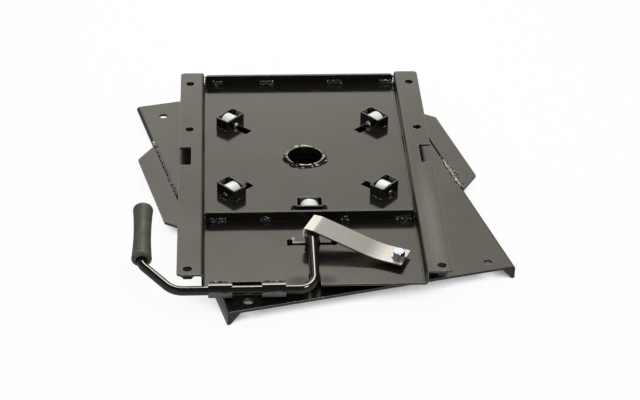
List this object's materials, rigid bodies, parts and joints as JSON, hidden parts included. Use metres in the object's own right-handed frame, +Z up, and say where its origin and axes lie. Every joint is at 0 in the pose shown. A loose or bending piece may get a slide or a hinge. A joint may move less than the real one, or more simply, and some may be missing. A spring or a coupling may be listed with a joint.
{
  "type": "swivel seat base",
  "caption": "Black steel swivel base for a camper van seat, with a folded tray on nylon rollers, a sprung release lever and a turned base plate below.",
  "frame": {"origin": "on the pivot axis at the upper face of the tray floor", "axes": "+Z up along the pivot axis, +Y to the rear of the seat tray, +X to the tray's right as seen from its front edge"},
  "size_m": [0.5299, 0.6399, 0.075],
  "materials": {
    "black_paint": "gloss",
    "spring_steel": "brushed",
    "zinc_plate": "bright",
    "white_nylon": "satin",
    "foam_grip": "matte"
  },
  "bodies": {
    "base": {"base_plate": "black_paint", "wing_left": "black_paint", "wing_right": "black_paint", "pivot_tube": "black_paint"},
    "tray": {"seat_tray": "black_paint", "rear_cross_bar": "black_paint", "front_cross_bar": "black_paint", "roller_housing_rear_right": "black_paint", "roller_housing_rear_left": "black_paint", "roller_housing_front_left": "black_paint", "roller_housing_front_right": "black_paint", "roller_housing_front_centre": "black_paint", "roller_axle_rear_right": "zinc_plate", "roller_axle_rear_left": "zinc_plate", "roller_axle_front_left": "zinc_plate", "roller_axle_front_right": "zinc_plate", "roller_axle_front_centre": "zinc_plate", "rail_nuts": "black_paint", "lever_bearing_left": "black_paint", "lever_bearing_right": "black_paint", "leaf_spring": "spring_steel", "spring_bolt": "zinc_plate", "spring_washer": "zinc_plate", "spring_nut": "zinc_plate"},
    "lever": {"lever_bar": "black_paint", "lever_grip": "foam_grip", "locking_blade": "black_paint"},
    "rear_right_wheel": {"roller_rear_right": "white_nylon"},
    "rear_left_wheel": {"roller_rear_left": "white_nylon"},
    "front_left_wheel": {"roller_front_left": "white_nylon"},
    "front_right_wheel": {"roller_front_right": "white_nylon"},
    "front_centre_wheel": {"roller_front_centre": "white_nylon"}
  },
  "joints": [
    {"name": "swivel", "type": "hinge", "parent": "base", "child": "tray", "pos_m": [0, 0, 0], "axis": [0, 0, 1], "continuous": true},
    {"name": "lever_lift", "type": "hinge", "parent": "tray", "child": "lever", "pos_m": [0, -0.3346, 0], "axis": [1, 0, 0], "range_deg": [0, 16], "stiffness_Nm_per_rad": 8, "springref_deg": -17.19, "deforming": ["leaf_spring"]},
    {"name": "rear_right_roll", "type": "hinge", "parent": "tray", "child": "rear_right_wheel", "pos_m": [0.10935, 0.09674, 0.0018], "axis": [0.749, 0.6626, 0], "continuous": true},
    {"name": "rear_left_roll", "type": "hinge", "parent": "tray", "child": "rear_left_wheel", "pos_m": [-0.10935, 0.09674, 0.0018], "axis": [-0.749, 0.6626, 0], "continuous": true},
    {"name": "front_left_roll", "type": "hinge", "parent": "tray", "child": "front_left_wheel", "pos_m": [-0.10935, -0.09674, 0.0018], "axis": [-0.749, -0.6626, 0], "continuous": true},
    {"name": "front_right_roll", "type": "hinge", "parent": "tray", "child": "front_right_wheel", "pos_m": [0.10935, -0.09674, 0.0018], "axis": [0.749, -0.6626, 0], "continuous": true},
    {"name": "front_centre_roll", "type": "hinge", "parent": "tray", "child": "front_centre_wheel", "pos_m": [0, -0.146, 0.0018], "axis": [0, -1, 0], "continuous": true}
  ],
  "couplings": [
    {"joint": "rear_right_roll", "follows": "swivel", "ratio": -10.429},
    {"joint": "rear_left_roll", "follows": "swivel", "ratio": -10.429},
    {"joint": "front_left_roll", "follows": "swivel", "ratio": -10.429},
    {"joint": "front_right_roll", "follows": "swivel", "ratio": -10.429},
    {"joint": "front_centre_roll", "follows": "swivel", "ratio": -10.429}
  ]
}
